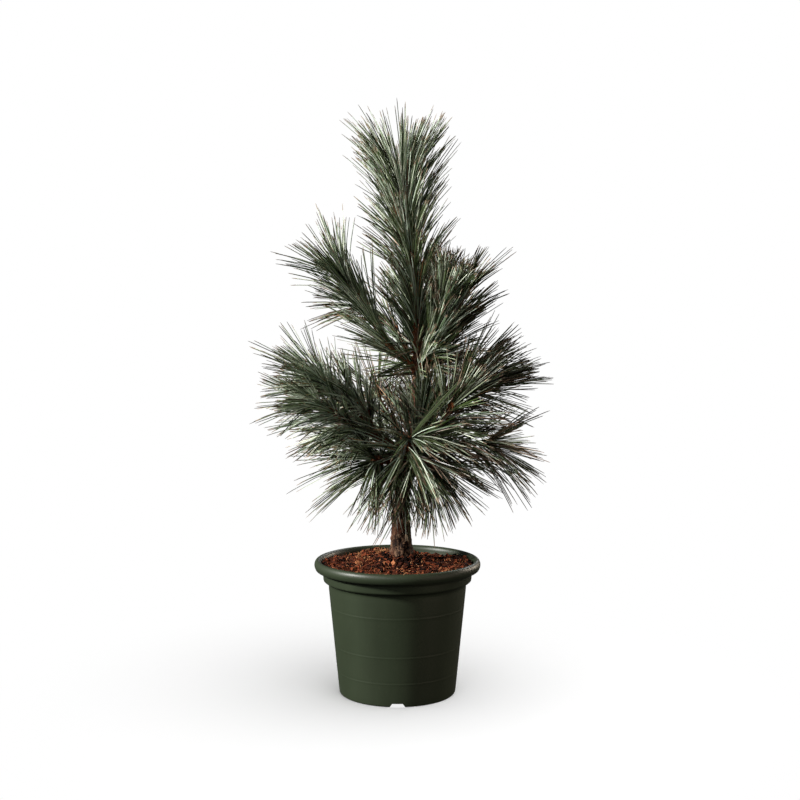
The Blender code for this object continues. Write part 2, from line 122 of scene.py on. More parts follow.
SHOOTS = (
    shoot("bough_lower_left", ("needles_lower_left_tip",),
          ((10, 8, 268), (-11, -10, 289), (-28, -23, 306), (-45, -35, 323), (-66, -50, 346), (-83, -62, 363)),
          (5.6, 1.8), start=0.24, length=76, lean=(35, 21), droop=0.11, bow=0.04, dense=0.57, bare=0.50,
          foot=0.86, spread=5, look=LOW_LEFT_LIT),
    shoot("bough_lower_left", ("needles_lower_left_inner",),
          ((-30, -28, 303), (-30, -38, 317), (-37, -48, 332), (-48, -52, 343), (-61, -52, 351)),
          (3.0, 1.7), start=0.20, length=66, lean=(14, 17), droop=0.15, bow=0.12, dense=0.66, bare=0.36,
          foot=0.81, spread=8, look=LOW_LEFT_LIT, fork=True),
    shoot("bough_lower_left", ("needles_lower_left_side",),
          ((-26, -24, 299), (-33, -35, 304), (-45, -46, 311), (-64, -59, 324), (-83, -71, 336)),
          (3.6, 1.8), start=0.03, length=69, lean=(29, 27), droop=0.13, bow=0.15, dense=0.58, bare=0.33,
          foot=0.80, spread=7, look=LOW_LEFT_LIT, fork=True),
    shoot("bough_lower_left_under", ("needles_lower_left_under",),
          ((9, 6, 257), (7, 3, 265), (-3, -13, 269), (-24, -42, 272)),
          (3.8, 1.8), start=0.19, length=80, lean=(72, 36), droop=0.20, bow=0.04, dense=0.95, bare=0.58,
          foot=0.90, spread=7, look=FRONT_SHADED),
    shoot("bough_lower_front", ("needles_lower_front",),
          ((14, 7, 261), (11, -18, 268), (9, -39, 277), (10, -66, 289), (12, -94, 302)),
          (4.8, 1.8), start=0.19, length=76, lean=(43, 31), droop=0.16, bow=0.21, dense=0.41, bare=0.74,
          foot=0.96, spread=4, look=FRONT_SHADED),
    shoot("bough_lower_right", ("needles_lower_right",),
          ((18, 11, 277), (35, 2, 282), (55, -5, 284), (78, -11, 287), (102, -14, 288)),
          (5.0, 1.8), start=0.30, length=71, lean=(31, 45), droop=0.16, bow=0.03, dense=0.46, bare=0.25,
          foot=0.87, spread=7, look=RIGHT_SHADED),
    shoot("bough_lower_right", (),
          ((38, 5, 285), (38, -12, 292), (47, -26, 310), (61, -36, 334)),
          (2.8, 1.7), start=0.17, length=73, lean=(66, 16), droop=0.10, bow=0.03, dense=0.54, bare=0.28,
          foot=1.02, spread=8, look=RIGHT_SHADED, fork=True),
    shoot("bough_lower_right_rising", ("needles_lower_right_rising",),
          ((20, 15, 288), (30, 23, 307), (44, 30, 321), (70, 32, 338), (101, 33, 352)),
          (5.0, 1.8), start=0.24, length=72, lean=(55, 18), droop=0.11, bow=-0.05, dense=0.61, bare=0.12,
          foot=0.90, spread=7, look=RIGHT_SHADED),
    shoot("bough_lower_right_rising", ("needles_lower_right_back",),
          ((40, 24, 306), (42, 36, 326), (56, 48, 345), (85, 64, 365)),
          (3.6, 1.8), start=0.06, length=79, lean=(34, 13), droop=0.00, bow=0.03, dense=0.42, bare=0.31,
          foot=0.87, spread=4, look=BACK_SHADED, fork=True),
    shoot("bough_lower_right_under", ("needles_lower_right_under",),
          ((18, 7, 266), (15, -12, 281), (20, -23, 278), (36, -27, 261)),
          (3.8, 1.8), start=0.19, length=79, lean=(67, 45), droop=0.20, bow=0.27, dense=1.00, bare=0.58,
          foot=0.81, spread=5, look=RIGHT_SHADED),
    shoot("bough_lower_back_left", ("needles_lower_back_left",),
          ((11, 20, 287), (2, 36, 296), (-4, 51, 306), (-14, 65, 320), (-24, 81, 337)),
          (4.8, 1.8), start=0.24, length=66, lean=(47, 45), droop=0.08, bow=0.39, dense=0.36, bare=0.41,
          foot=0.97, spread=7, look=BACK_SHADED),
    shoot("bough_lower_back", ("needles_lower_back",),
          ((15, 20, 276), (19, 35, 283), (19, 54, 292), (16, 81, 303), (10, 113, 318)),
          (4.8, 1.8), start=0.05, length=68, lean=(50, 15), droop=0.00, bow=0.05, dense=0.57, bare=0.30,
          foot=0.88, spread=10, look=BACK_SHADED),
    shoot("bough_lower_back_under", ("needles_lower_back_under",),
          ((17, 18, 264), (29, 33, 276), (34, 46, 273), (35, 58, 258)),
          (3.8, 1.8), start=0.13, length=74, lean=(60, 39), droop=0.14, bow=0.11, dense=0.70, bare=0.56,
          foot=0.83, spread=10, look=BACK_SHADED),
    shoot("bough_lower_left_back", ("needles_lower_left_back",),
          ((9, 17, 270), (-10, 22, 284), (-29, 28, 290), (-45, 33, 294), (-62, 40, 298)),
          (3.8, 1.8), start=0.18, length=66, lean=(36, 26), droop=0.14, bow=-0.02, dense=0.31, bare=0.50,
          foot=1.02, spread=4, look=BACK_SHADED),
    shoot("bough_upper_left", ("needles_upper_left",),
          ((21, 8, 370), (3, 1, 388), (-14, -7, 406), (-31, -17, 435), (-46, -29, 456), (-57, -40, 473)),
          (4.2, 1.8), start=0.00, length=73, lean=(12, 18), droop=0.00, bow=0.16, dense=0.46, bare=0.45,
          foot=0.88, spread=5, look=LEFT_LIT),
    shoot("bough_upper_right", ("needles_upper_right",),
          ((26, 9, 371), (40, 8, 381), (51, 8, 398), (59, 3, 421), (65, -5, 448)),
          (4.2, 1.8), start=0.04, length=66, lean=(22, 22), droop=0.07, bow=0.17, dense=0.86, bare=0.23,
          foot=0.86, spread=4, look=RIGHT_SHADED),
    shoot("bough_upper_front", ("needles_upper_front",),
          ((25, 4, 374), (31, -10, 386), (35, -21, 398), (42, -26, 420), (49, -26, 446)),
          (3.2, 1.7), start=0.00, length=66, lean=(12, 21), droop=0.16, bow=-0.02, dense=0.58, bare=0.51,
          foot=0.93, spread=4, look=LEFT_LIT),
    shoot("bough_upper_back_right", ("needles_upper_back_right",),
          ((27, 14, 374), (31, 30, 386), (35, 42, 400), (40, 50, 423), (44, 56, 455)),
          (3.2, 1.7), start=0.07, length=68, lean=(54, 23), droop=0.02, bow=-0.03, dense=0.35, bare=0.54,
          foot=0.82, spread=4, look=BACK_SHADED),
    shoot("bough_upper_back_left", ("needles_upper_back_left",),
          ((20, 14, 374), (9, 30, 396), (-4, 42, 418), (-17, 48, 431), (-33, 53, 442)),
          (3.2, 1.7), start=0.15, length=74, lean=(23, 32), droop=0.08, bow=0.13, dense=0.36, bare=0.65,
          foot=0.80, spread=7, look=BACK_SHADED),
    shoot("bough_upper_back", ("needles_upper_back",),
          ((24, 14, 370), (25, 31, 388), (25, 45, 408), (23, 60, 425), (18, 82, 449)),
          (3.8, 1.7), start=0.15, length=66, lean=(12, 12), droop=0.13, bow=-0.03, dense=0.64, bare=0.42,
          foot=0.87, spread=8, look=BACK_SHADED),
    shoot("bough_lower_front", (),
          ((15, -3, 263), (15, -15, 270), (19, -20, 284), (24, -21, 304)),
          (2.4, 1.5), start=0.20, length=66, lean=(22, 10), droop=0.00, bow=0.11, dense=0.36, bare=0.21,
          foot=0.98, spread=4, look=FRONT_SHADED, fork=True),
)
# the needles on the stem itself: from one height to another (mm)
STEM_SHOOTS = (
    (500, 584, shoot("", (), (), (1, 1), start=0.00, length=77, lean=(27, 33), droop=0.00, bow=0.12, dense=1.00, bare=0.00,
          foot=0.90, spread=5, look=LEFT_LIT)),
    (392, 512, shoot("", (), (), (1, 1), start=0.00, length=65, lean=(27, 25), droop=0.03, bow=0.20, dense=0.76, bare=0.00,
          foot=1.00, spread=5, look=STEM_LOOK)),
    (362, 400, shoot("", (), (), (1, 1), start=0.00, length=58, lean=(95, 64), droop=0.00, bow=0.00, dense=0.70, bare=0.00,
          foot=1.00, spread=9, look=DARK)),
)
CROWD = 1.12                        # fascicles for each one in the table
TIP_TUFT = 16
NEEDLE_WIDTH = 0.00112
LOWEST = 0.181                      # no needle hangs below this height


# ------------------------------------------------------------ path utilities
def smooth_path(points, step):
    """Evenly spaced stations on a smooth curve; points are rows of numbers."""
    pts = [np.array(p, float) for p in points]
    ends = [pts[0] * 2 - pts[1]] + pts + [pts[-1] * 2 - pts[-2]]
    fine = []
    for i in range(1, len(ends) - 2):
        p0, p1, p2, p3 = ends[i - 1:i + 3]
        for t in np.arange(24) / 24.0:
            fine.append(0.5 * (2 * p1 + (p2 - p0) * t + (2 * p0 - 5 * p1 + 4 * p2 - p3) * t ** 2
                               + (3 * p1 - p0 - 3 * p2 + p3) * t ** 3))
    fine.append(pts[-1])
    fine = np.array(fine)
    run = np.concatenate([[0], np.cumsum(np.linalg.norm(np.diff(fine[:, :3], axis=0), axis=1))])
    count = max(3, int(round(run[-1] / step)) + 1)
    want = np.linspace(0, run[-1], count)
    return np.stack([np.interp(want, run, fine[:, k]) for k in range(fine.shape[1])], 1), want


def unit(v):
    return v / np.maximum(np.linalg.norm(v, axis=-1, keepdims=True), 1e-12)


def frames(path):
    n = len(path)
    tan = unit(np.array([path[min(i + 1, n - 1)] - path[max(i - 1, 0)] for i in range(n)]))
    side = np.cross(tan[0], [0, 1, 0])
    if np.linalg.norm(side) < 0.2:
        side = np.cross(tan[0], [1, 0, 0])
    side = unit(side)
    sides = []
    for t in tan:
        side = unit(side - t * np.dot(side, t))
        sides.append(side)
    sides = np.array(sides)
    return tan, sides, np.cross(tan, sides)


# ------------------------------------------------------------------ materials
def srgb(r, g, b):
    def lin(c):
        c = c / 255.0
        return c / 12.92 if c <= 0.04045 else ((c + 0.055) / 1.055) ** 2.4
    return (lin(r), lin(g), lin(b), 1.0)


def new_material(name):
    mat = bpy.data.materials.new(name)
    mat.use_nodes = True
    return mat, mat.node_tree, mat.node_tree.nodes["Principled BSDF"]


def plain_material(name, colour, rough, spec=0.4, sheen=0.0):
    mat, tree, shader = new_material(name)
    shader.inputs["Base Color"].default_value = colour
    shader.inputs["Roughness"].default_value = rough
    shader.inputs["Specular IOR Level"].default_value = spec
    if sheen:
        shader.inputs["Sheen Weight"].default_value = sheen
    return mat


def ramp(tree, stops, source):
    node = tree.nodes.new("ShaderNodeValToRGB")
    while len(node.color_ramp.elements) < len(stops):
        node.color_ramp.elements.new(0.5)
    for element, (at, colour) in zip(node.color_ramp.elements, stops):
        element.position = at
        element.color = colour
    tree.links.new(source, node.inputs["Fac"])
    return node.outputs["Color"]


def noise_node(tree, vector, scale, detail=4.0, rough=0.55, distort=0.0):
    node = tree.nodes.new("ShaderNodeTexNoise")
    node.inputs["Scale"].default_value = scale
    node.inputs["Detail"].default_value = detail
    node.inputs["Roughness"].default_value = rough
    node.inputs["Distortion"].default_value = distort
    tree.links.new(vector, node.inputs["Vector"])
    return node.outputs["Fac"]


def object_coords(tree, scale=(1, 1, 1)):
    coord = tree.nodes.new("ShaderNodeTexCoord")
    mapping = tree.nodes.new("ShaderNodeMapping")
    mapping.inputs["Scale"].default_value = scale
    tree.links.new(coord.outputs["Object"], mapping.inputs["Vector"])
    return mapping.outputs["Vector"]


def mix_colour(tree, factor, a, b, mode="MIX"):
    node = tree.nodes.new("ShaderNodeMix")
    node.data_type = "RGBA"
    node.blend_type = mode
    for value, socket in ((factor, node.inputs[0]), (a, node.inputs[6]), (b, node.inputs[7])):
        if isinstance(value, (int, float)):
            socket.default_value = value
        elif isinstance(value, tuple):
            socket.default_value = value
        else:
            tree.links.new(value, socket)
    return node.outputs[2]


def bump(tree, shader, height, strength, distance):
    node = tree.nodes.new("ShaderNodeBump")
    node.inputs["Strength"].default_value = strength
    node.inputs["Distance"].default_value = distance
    tree.links.new(height, node.inputs["Height"])
    tree.links.new(node.outputs["Normal"], shader.inputs["Normal"])


def to_range(tree, source, low, high):
    node = tree.nodes.new("ShaderNodeMapRange")
    node.inputs["To Min"].default_value = low
    node.inputs["To Max"].default_value = high
    tree.links.new(source, node.inputs["Value"])
    return node.outputs["Result"]


def pot_material():
    mat, tree, shader = new_material("pot_plastic")
    v = object_coords(tree)
    tall = object_coords(tree, (1, 1, 0.18))
    flow = noise_node(tree, tall, 26, 5, 0.6)
    cloud = noise_node(tree, v, 9, 3, 0.5)
    speck = noise_node(tree, v, 420, 2, 0.6)
    base = ramp(tree, ((0.30, srgb(36, 44, 30)), (0.55, srgb(41, 50, 35)), (0.80, srgb(47, 56, 40))), flow)
    base = mix_colour(tree, to_range(tree, cloud, 0.0, 0.35), base, srgb(53, 58, 43))
    dust = ramp(tree, ((0.64, (0, 0, 0, 1)), (0.80, (1, 1, 1, 1))), speck)
    base = mix_colour(tree, mix_colour(tree, 0.08, (0, 0, 0, 1), dust), base, srgb(110, 106, 90))
    tree.links.new(base, shader.inputs["Base Color"])
    tree.links.new(to_range(tree, cloud, 0.38, 0.54), shader.inputs["Roughness"])
    shader.inputs["Specular IOR Level"].default_value = 0.36
    bump(tree, shader, noise_node(tree, v, 900, 3, 0.6), 0.10, 0.0004)
    return mat


def bark_material(name, dark, mid, light, red, scale=1.0):
    mat, tree, shader = new_material(name)
    v = object_coords(tree, (1, 1, 0.60))
    fine = object_coords(tree)
    coarse = noise_node(tree, v, 230 * scale, 6, 0.68, 0.6)
    patch = noise_node(tree, fine, 45 * scale, 4, 0.6)
    grit = noise_node(tree, fine, 900 * scale, 3, 0.6)
    base = ramp(tree, ((0.36, dark), (0.49, mid), (0.59, light), (0.66, mid)), coarse)
    base = mix_colour(tree, ramp(tree, ((0.48, (0, 0, 0, 1)), (0.66, (1, 1, 1, 1))), patch), base, red)
    base = mix_colour(tree, to_range(tree, grit, 0.0, 0.35), base, dark)
    tree.links.new(base, shader.inputs["Base Color"])
    shader.inputs["Roughness"].default_value = 0.82
    shader.inputs["Specular IOR Level"].default_value = 0.25
    bump(tree, shader, noise_node(tree, v, 420 * scale, 5, 0.65), 0.85, 0.0014)
    return mat


def soil_material():
    mat, tree, shader = new_material("potting_mix")
    v = object_coords(tree)
    a = noise_node(tree, v, 300, 6, 0.7)
    b = noise_node(tree, v, 90, 4, 0.6)
    base = ramp(tree, ((0.36, srgb(12, 5, 3)), (0.50, srgb(44, 20, 11)), (0.66, srgb(92, 44, 25))), a)
    base = mix_colour(tree, ramp(tree, ((0.42, (0, 0, 0, 1)), (0.62, (1, 1, 1, 1))), b), base, srgb(22, 9, 5))
    tree.links.new(base, shader.inputs["Base Color"])
    shader.inputs["Roughness"].default_value = 0.95
    shader.inputs["Specular IOR Level"].default_value = 0.15
    bump(tree, shader, a, 0.7, 0.002)
    return mat


# each tint: outer face, inner (waxy) faces, tip. Pale and deep are lighter and darker copies of the needle colour:
# partly the needles' own spread of tone, partly painted light and painted shade where the side shares deal them out.
# The brown tint is painted shade, the look of needles seen against the light
TINTS = (
    ("blue", srgb(84, 100, 76), srgb(174, 187, 168), srgb(126, 110, 92)),
    ("mid", srgb(64, 76, 46), srgb(148, 159, 131), srgb(122, 106, 86)),
    ("deep", srgb(18, 24, 5), srgb(54, 64, 35), srgb(82, 66, 46)),
    ("fresh", srgb(70, 87, 46), srgb(138, 153, 114), srgb(132, 114, 86)),
    ("pale", srgb(112, 120, 98), srgb(202, 208, 189), srgb(152, 134, 112)),
    # painted shade: the brown-grey of needles seen against the light
    ("shade_brown", srgb(54, 42, 30), srgb(122, 103, 86), srgb(112, 84, 66)),
    ("straw", srgb(120, 84, 50), srgb(160, 122, 82), srgb(130, 88, 58)),
)


# ------------------------------------------------------------------ mesh tools
def mesh_from_arrays(name, verts, faces, mats, face_mats=None, smooth=False, body="root"):
    """verts (n,3); faces a list of (k,m) int arrays with the same or different m."""
    mesh = bpy.data.meshes.new(name)
    loops = np.concatenate([f.ravel() for f in faces]).astype(np.int32)
    sizes = np.concatenate([np.full(len(f), f.shape[1]) for f in faces]).astype(np.int32)
    mesh.vertices.add(len(verts))
    mesh.vertices.foreach_set("co", np.ascontiguousarray(verts, dtype=np.float32).ravel())
    mesh.loops.add(len(loops))
    mesh.loops.foreach_set("vertex_index", loops)
    mesh.polygons.add(len(sizes))
    starts = np.concatenate([[0], np.cumsum(sizes)[:-1]]).astype(np.int32)
    mesh.polygons.foreach_set("loop_start", starts)
    for mat in mats:
        mesh.materials.append(mat)
    if face_mats is not None:
        mesh.polygons.foreach_set("material_index", face_mats.astype(np.int32))
    mesh.polygons.foreach_set("use_smooth", np.full(len(sizes), smooth, dtype=bool))
    mesh.update(calc_edges=True)
    mesh.validate()
    made = bpy.data.objects.new(name, mesh)
    bpy.context.scene.collection.objects.link(made)
    if body:
        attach(made, body)
    return made


class Gather:
    """Collects verts and faces of many small shapes for one joined piece."""

    def __init__(self):
        self.verts, self.faces, self.mats, self.count = [], [], [], 0

    def add(self, verts, faces, mats):
        """verts (n,3); faces list of (k,m); mats list of (k,) ints."""
        for f, m in zip(faces, mats):
            self.faces.append(f + self.count)
            self.mats.append(m)
        self.verts.append(verts)
        self.count += len(verts)

    def build(self, name, mats, smooth=False):
        by_size = {}
        for f, m in zip(self.faces, self.mats):
            by_size.setdefault(f.shape[1], []).append((f, m))
        faces, order = [], []
        for size, group in sorted(by_size.items()):
            faces.append(np.concatenate([g[0] for g in group]))
            order.append(np.concatenate([g[1] for g in group]))
        return mesh_from_arrays(name, np.concatenate(self.verts), faces, mats,
                                np.concatenate(order), smooth)


# --------------------------------------------------------------------- needles
RING_T = np.array([0.0, 0.065, 0.25, 0.46, 0.68, 0.925, 0.985])
RING_W = np.array([0.62, 0.92, 1.0, 1.0, 0.98, 0.80, 0.50])
RINGS = len(RING_T)


def needle_mesh(base, way, out, length, width, bend):
    """Three-sided curved needles.  All inputs have one row for each needle."""
    n = len(base)
    t = np.append(RING_T, 1.0)[None, :, None]
    line = base[:, None] + way[:, None] * (length[:, None, None] * t) \
        + bend[:, None] * (length[:, None, None] * t ** 2)
    tan = unit(way[:, None] + 2 * bend[:, None] * t)
    out_k = unit(out[:, None] - tan * np.sum(out[:, None] * tan, -1, keepdims=True))
    side = np.cross(tan, out_k)
    w = (width[:, None] * RING_W[None])[..., None] / 2
    c, s, o = line[:, :RINGS], side[:, :RINGS], out_k[:, :RINGS]
    a = c + s * w + o * w * 0.45
    b = c - s * w + o * w * 0.45
    k = c - o * w * 0.95
    last = 3 * RINGS
    verts = np.concatenate([np.stack([a, b, k], 2).reshape(n, last, 3), line[:, RINGS:]], 1)
    quads, kinds = [], []
    for r in range(RINGS - 1):
        p, q = 3 * r, 3 * r + 3
        quads += [(p, q, q + 1, p + 1), (p + 1, q + 1, q + 2, p + 2), (p + 2, q + 2, q, p)]
        kinds += [3, 3, 3] if r == 0 else [2, 2, 2] if r == RINGS - 2 else [0, 1, 1]
    tris = [(last - 3, last, last - 2), (last - 2, last, last - 1), (last - 1, last, last - 3)]
    offset = (np.arange(n) * (last + 1))[:, None, None]
    quads = (np.array(quads)[None] + offset).reshape(-1, 4)
    tris = (np.array(tris)[None] + offset).reshape(-1, 3)
    return verts.reshape(-1, 3), [quads, tris], [np.tile(kinds, n), np.full(len(tris), 2)]


needle_rows = []      # (tint, base, way, out, length, width, bend)


def grow_needles(path, run, radius, spec, number, tuft=TIP_TUFT):
    """Fascicles of five set spirally along a shoot, leaning out less towards its tip."""
    rng = np.random.default_rng(20611 + number)
    total = run[-1]
    first = total * spec["start"]
    body = max(4, int((total - first) * 1000 * spec["dense"] * CROWD))
    # a few grow further down the shoot as well
    low = int(first * 1000 * spec["dense"] * CROWD * 0.35)
    count = body + tuft + low
    tan, side, up = frames(path)
    share = np.sort(np.concatenate([(np.arange(body) + rng.random(body)) / body,
                                    1 - 0.06 * rng.random(tuft) ** 1.5,
                                    -rng.random(low) * first / max(total - first, 1e-9)]))
    turn = np.arange(count) * 2.39996 + rng.normal(0, 0.30, count)
    at = np.maximum(first + (total - first) * share, total * 0.06)
    share = np.maximum(share, 0)
    k = np.interp(at, run, np.arange(len(run)))
    lo = np.clip(k.astype(int), 0, len(run) - 2)
    f = (k - lo)[:, None]
    point = path[lo] * (1 - f) + path[lo + 1] * f
    t = unit(tan[lo] * (1 - f) + tan[lo + 1] * f)
    radial = unit(side[lo] * np.cos(turn)[:, None] + up[lo] * np.sin(turn)[:, None])
    lot = rng.random(count)
    lean_off, long_off = np.clip(rng.normal(0, 1, (2, count)), -2, 2)
    bow_by, droop_by = rng.uniform(0.3, 1.7, count), rng.uniform(0.2, 1.8, count)
    tuft_by = rng.random(count)
    twist, open_off = rng.normal(0, 0.04, (count, 3)), np.abs(rng.normal(0, 1, count))
    spin = rng.random(count) * 6.283
    keep = lot > spec["bare"] * np.clip(radial[:, 2] * 1.6 + 0.15, 0, 1)
    foot_lean, tip_lean = np.radians(spec["lean"][0]), np.radians(spec["lean"][1])
    angle = tip_lean + (foot_lean - tip_lean) * (1 - share ** 3) + lean_off * np.radians(spec["spread"] + 1.5)
    in_tuft = share > 0.94
    angle = np.clip(np.where(in_tuft, tip_lean * 1.35 * tuft_by ** 0.65, angle), 0.02, 1.9)
    way = unit(t * np.cos(angle)[:, None] + radial * np.sin(angle)[:, None])
    base = point + radial * (np.interp(at, run, radius) * 0.9)[:, None]
    size = spec["length"] / 1000.0 * (1 + 0.09 * long_off) * np.where(in_tuft, 0.86 + 0.13 * tuft_by, 1.0) \
        * (spec["foot"] + (1 - spec["foot"]) * np.minimum(1, share * 2))
    bend = radial * (spec["bow"] * bow_by * np.minimum(1, angle / 0.30))[:, None] + twist
    bend[:, 2] -= spec["droop"] * droop_by * np.sqrt(np.maximum(0, 1 - way[:, 2] ** 2))
    ortho = unit(np.cross(way, t + 1e-3))
    other = np.cross(way, ortho)
    open_by = 0.026 + 0.045 * open_off
    # the tint goes with the fascicle for one needle out of three
    shares = np.cumsum(np.array(spec["look"]) / sum(spec["look"]))[:-1]
    dye = np.random.default_rng(907 + number)
    tint = np.searchsorted(shares, dye.random(count))
    for j in range(5):
        a = spin + j * 1.2566
        out = ortho * np.cos(a)[:, None] + other * np.sin(a)[:, None]
        apart = (open_by * rng.uniform(0.4, 1.6, count))[:, None]
        turned = a + rng.normal(0, 1.0, count)
        face = ortho * np.cos(turned)[:, None] + other * np.sin(turned)[:, None]
        own = np.where(dye.random(count) < 0.72, np.searchsorted(shares, dye.random(count)), tint)
        row = (own, base + out * 0.0006, unit(way + out * apart), face, size * rng.normal(1.0, 0.05, count),
               NEEDLE_WIDTH * rng.normal(1.0, 0.10, count), bend + rng.normal(0, 0.026, (count, 3)))
        needle_rows.append([c[keep] for c in row])


def jitter_dir(direction, angle, spin):
    ortho = unit(np.cross(direction, [0.13, 0.29, 0.95]))
    other = np.cross(direction, ortho)
    return unit(direction * math.cos(angle)
                + (ortho * math.cos(spin) + other * math.sin(spin)) * math.sin(angle))


# ------------------------------------------------------------------ bark tubes
def bark_tube(points, around, step, relief, seed, root=False, cap=True):
    """A tapering limb with bark relief; points are (x, y, z, r) in metres."""
    path, run = smooth_path(points, step)
    centre, radius = path[:, :3], path[:, 3].copy()
    if root:
        radius += FLARE * np.exp(-(centre[:, 2] - centre[0, 2]) / FLARE_HEIGHT)
    tan, side, up = frames(centre)
    n = len(centre)
    angle = np.arange(around) * 2 * math.pi / around
    out = side[:, None] * np.cos(angle)[None, :, None] + up[:, None] * np.sin(angle)[None, :, None]
    shift = np.zeros((n, around))
    for i in range(n):
        z = run[i]
        for j in range(around):
            x, y = math.cos(angle[j]), math.sin(angle[j])
            shift[i, j] = relief(x, y, z, radius[i], seed)
    verts = centre[:, None] + out * (radius[:, None] + shift)[..., None]
    verts = verts.reshape(-1, 3)
    a = np.arange(n - 1)[:, None] * around
    j = np.arange(around)[None]
    m = (j + 1) % around
    quads = np.stack([a + j, a + m, a + around + m, a + around + j], -1).reshape(-1, 4)
    faces, mats = [quads], [np.zeros(len(quads), int)]
    if cap:
        tip = len(verts)
        verts = np.concatenate([verts, centre[-1:] + tan[-1] * radius[-1] * 0.8, centre[:1]])
        last = (n - 1) * around
        j = np.arange(around)
        tris = np.stack([last + j, last + (j + 1) % around, np.full(around, tip)], -1)
        foot = np.stack([(j + 1) % around, j, np.full(around, tip + 1)], -1)
        faces.append(np.concatenate([tris, foot]))
        mats.append(np.zeros(2 * around, int))
    return verts, faces, mats, centre, run, radius


def old_bark(x, y, z, r, seed):
    """Flaky plates and furrows, stronger near the foot."""
    v = Vector((x * r * 1000, y * r * 1000, z * 1000 * 0.35 + seed * 13))
    plate = noise.noise(v * 0.42)
    furrow = abs(noise.noise(v * 0.21 + Vector((9, 3, 1))))
    ring = noise.noise(Vector((x * 1.4, y * 1.4, z * 620 + seed)))
    grit = noise.noise(Vector((x * r * 2600, y * r * 2600, z * 2000)))
    fade = 0.40 + 0.60 * max(0.0, 1 - z / 0.09)
    return r * 0.085 * fade * (1.5 * plate - 1.4 * (0.25 - furrow) * (furrow < 0.25) * 3 + 0.45 * ring + 0.35 * grit)


def young_bark(x, y, z, r, seed):
    """Leaf cushions in a spiral on a young shoot."""
    turn = math.atan2(y, x)
    scales = math.sin(turn * 5 + z * 2400 + seed) * math.sin(-turn * 3 + z * 2100 + seed * 2)
    grit = noise.noise(Vector((x * r * 1900, y * r * 1900, z * 1500 + seed)))
    return r * (0.10 * max(0.0, scales) + 0.07 * grit)


def bud(points_at, way, size, seed):
    """A pointed bud: a small turned shape with overlapping scales."""
    rings, around = 9, 10
    ortho = unit(np.cross(way, [0.2, 0.3, 0.93]))
    other = np.cross(way, ortho)
    verts = []
    for i in range(rings):
        t = i / (rings - 1)
        r = size * 0.24 * (math.sin(math.pi * min(1.0, 0.18 + 0.82 * t) ** 0.8) ** 0.8) * (1 - 0.1 * t)
        r *= 1 + 0.10 * (i % 2)
        if i == rings - 1:
            r = size * 0.01
        for j in range(around):
            a = 2 * math.pi * (j + 0.5 * (i % 2)) / around + seed
            verts.append(points_at + way * size * t + (ortho * math.cos(a) + other * math.sin(a)) * r)
    a = np.arange(rings - 1)[:, None] * around
    j = np.arange(around)[None]
    m = (j + 1) % around
    quads = np.stack([a + j, a + m, a + around + m, a + around + j], -1).reshape(-1, 4)
    return np.array(verts), [quads], [np.zeros(len(quads), int)]


MM = 0.001
bark_old = bark_material("bark_old", srgb(13, 8, 6), srgb(48, 29, 19), srgb(150, 116, 90), srgb(80, 42, 24))
bark_young = bark_material("bark_young", srgb(44, 26, 16), srgb(92, 56, 34), srgb(146, 96, 62), srgb(108, 58, 33), 1.3)
bud_mat = bark_material("bud_scales", srgb(70, 44, 30), srgb(112, 76, 50), srgb(156, 118, 84), srgb(100, 58, 38), 2.0)

# ----------------------------------------------------------------------- stem
stem_pts = [(x * MM, y * MM, z * MM, r * MM) for x, y, z, r in STEM]
verts, faces, mats, centre, run, radius = bark_tube(stem_pts, 56, 0.0016, old_bark, 1, root=True)
stem_mesh = Gather()
share_old = np.interp(0.395, centre[:, 2], run) / run[-1]
quads = faces[0]
kind = (verts[quads[:, 0], 2] > 0.392 + 0.006 * np.sin(quads[:, 0] * 1.7)).astype(int)
stem_mesh.add(verts, faces, [kind, mats[1] + (np.arange(len(mats[1])) < 56)])
stem = stem_mesh.build("stem_bark", [bark_old, bark_young], smooth=True)
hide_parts("trunk")
stem_path, stem_run, stem_radius = centre, run, radius

# --------------------------------------------------------- boughs, twigs, buds
boughs = Gather()
twigs = Gather()
buds = Gather()
masses_done, boughs_done = [], []


def add_bud(at, way, size, seed):
    boost = unit(way)
    buds.add(*bud(at, boost, size, seed))
    for n in range(3):
        w = jitter_dir(boost, 0.7, n * 2.1 + seed)
        buds.add(*bud(at - boost * size * 0.15, w, size * 0.55, seed + n))


for number, spec in enumerate(SHOOTS):
    pts = np.array(spec["line"], float) * MM
    rr = np.linspace(spec["r"][0], spec["r"][1], len(pts)) * MM
    points = np.concatenate([pts, rr[:, None]], 1)
    verts, faces, mats, centre, run, radius = bark_tube(points, 16, 0.0013, young_bark, number + 3)
    (twigs if spec["fork"] else boughs).add(verts, faces, mats)
    add_bud(centre[-1], centre[-1] - centre[-3], 0.0075, number)
    grow_needles(centre, run, radius, spec, number)
    if spec["bough"] not in boughs_done:
        boughs_done.append(spec["bough"])
    masses_done.extend(spec["masses"])

# the stem's own needles
for number, (low, high, spec) in enumerate(STEM_SHOOTS, start=len(SHOOTS)):
    k0 = int(np.searchsorted(stem_path[:, 2], low * MM))
    k1 = int(np.searchsorted(stem_path[:, 2], high * MM)) + 1
    grow_needles(stem_path[k0:k1], stem_run[k0:k1] - stem_run[k0], stem_radius[k0:k1], spec, number,
                 30 if high > 580 else 0)
add_bud(stem_path[-1], stem_path[-1] - stem_path[-4], 0.010, 1.0)

bough_obj = boughs.build("boughs_bark", [bark_young], smooth=True)
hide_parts(*boughs_done)
twig_obj = twigs.build("twigs_bark", [bark_young], smooth=True)
bud_obj = buds.build("buds", [bud_mat], smooth=True)

